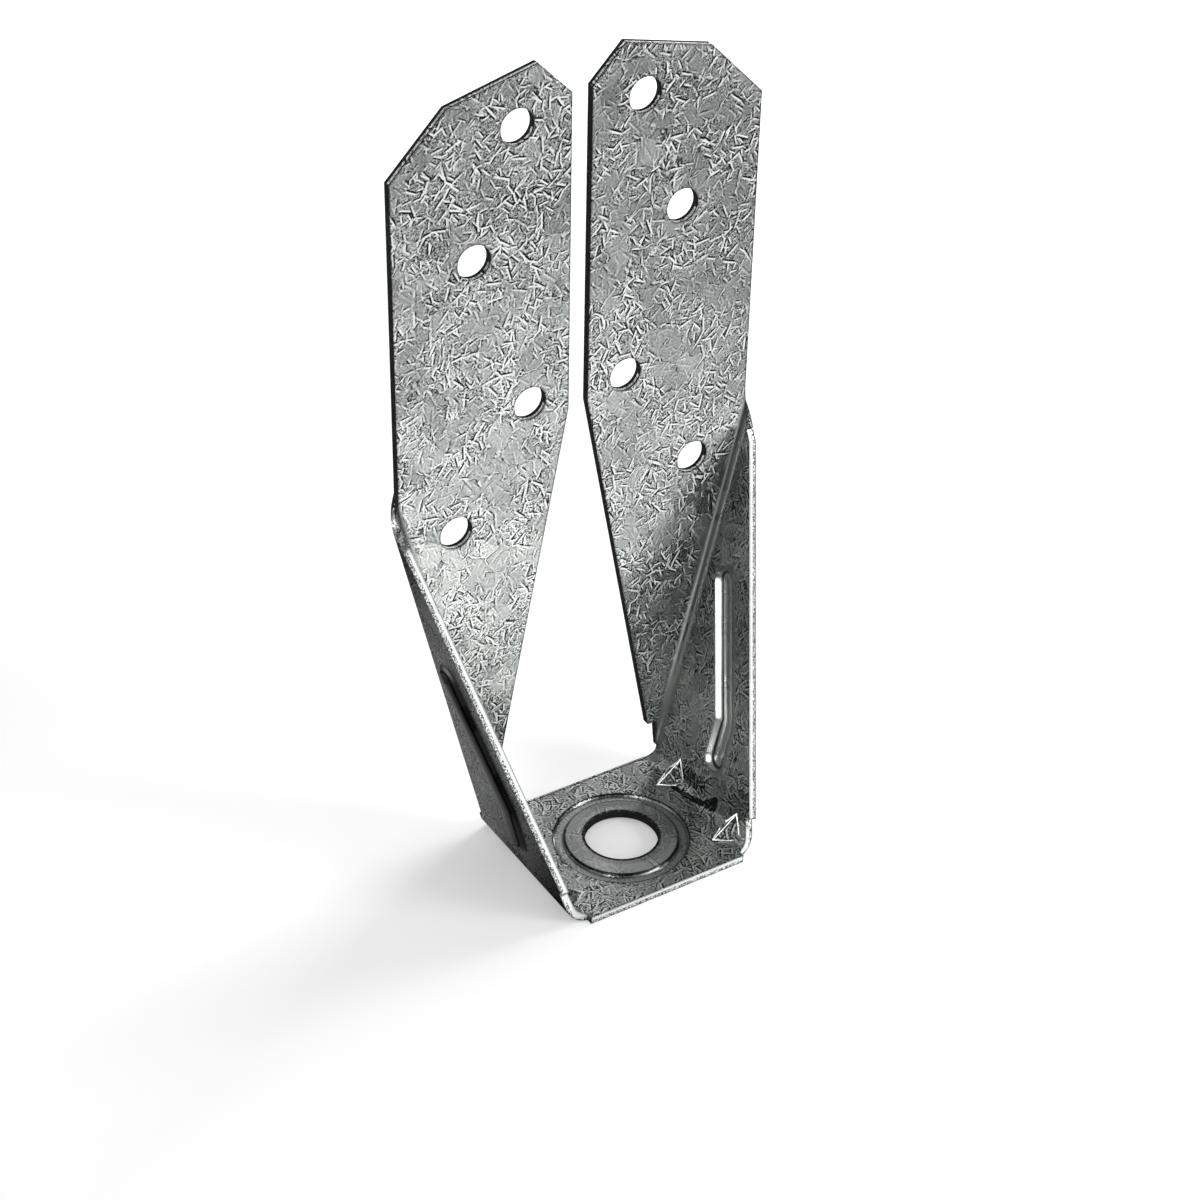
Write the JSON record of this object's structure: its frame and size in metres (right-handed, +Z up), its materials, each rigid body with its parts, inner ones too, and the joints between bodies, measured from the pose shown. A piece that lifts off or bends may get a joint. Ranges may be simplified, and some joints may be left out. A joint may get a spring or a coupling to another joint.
{
  "type": "deck tension tie",
  "caption": "Folded sheet-steel tie: a flat seat with an anchor hole, two flared walls with a pressed rib each, and two flanges with screw holes for the timber face.",
  "frame": {"origin": "axis of the anchor hole, level with the seat's upper face", "axes": "+Z up the anchor rod, +Y towards the timber, X across the tie"},
  "size_m": [0.0858, 0.0407, 0.176],
  "materials": {
    "galvanised_steel": "hot-dip galvanised sheet with a fine needle spangle"
  },
  "bodies": {
    "root": {"deck_tie": "galvanised_steel"}
  },
  "joints": []
}
